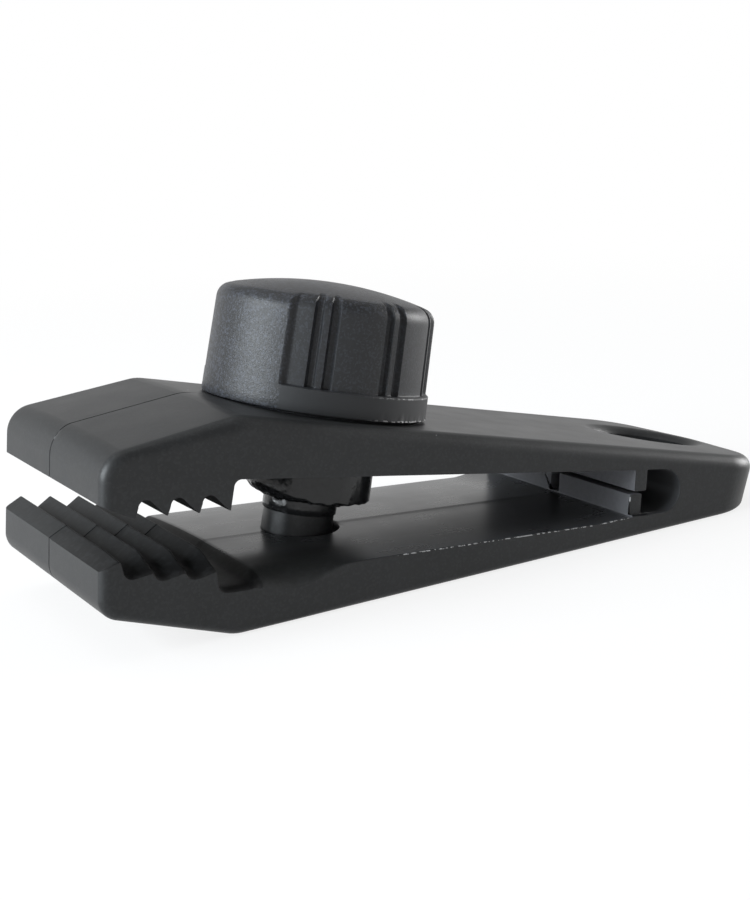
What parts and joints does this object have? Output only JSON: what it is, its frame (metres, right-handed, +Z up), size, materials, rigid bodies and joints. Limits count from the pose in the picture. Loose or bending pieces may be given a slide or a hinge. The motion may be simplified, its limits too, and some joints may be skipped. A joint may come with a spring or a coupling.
{
  "type": "tarp clip",
  "caption": "Screw-operated tarp clip: a sprung one-piece moulding with toothed jaws and a rope eye, drawn together by a ribbed hand knob on a captive screw.",
  "frame": {"origin": "on the resting surface, under the middle of the clip's box", "axes": "+X from the jaws to the tail with the rope eye, +Y across the jaws, +Z up through the knob's side"},
  "size_m": [0.0894, 0.03, 0.0333],
  "materials": {
    "body_plastic": "fine matt moulded black",
    "knob_plastic": "spark-grained moulded black",
    "screw_plastic": "smooth satin black",
    "collar_plastic": "glossy black, formed hot"
  },
  "bodies": {
    "base_arm": {"lower_arm": "body_plastic"},
    "moving_arm": {"upper_arm": "body_plastic"},
    "turning_knob": {"knob": "knob_plastic", "clamp_screw": "screw_plastic", "retaining_collar": "collar_plastic"}
  },
  "joints": [
    {"name": "arm_close", "type": "hinge", "parent": "base_arm", "child": "moving_arm", "pos_m": [0.02479, 0, 0.00856], "axis": [0, -1, 0], "range_deg": [0, 3.4]},
    {"name": "knob_turn", "type": "hinge", "parent": "moving_arm", "child": "turning_knob", "pos_m": [-0.01272, 0, 0.01851], "axis": [-0.2284, 0, -0.9736], "range_deg": [0, 660]}
  ],
  "couplings": [
    {"joint": "arm_close", "follows": "knob_turn", "ratio": 0.0051465}
  ]
}
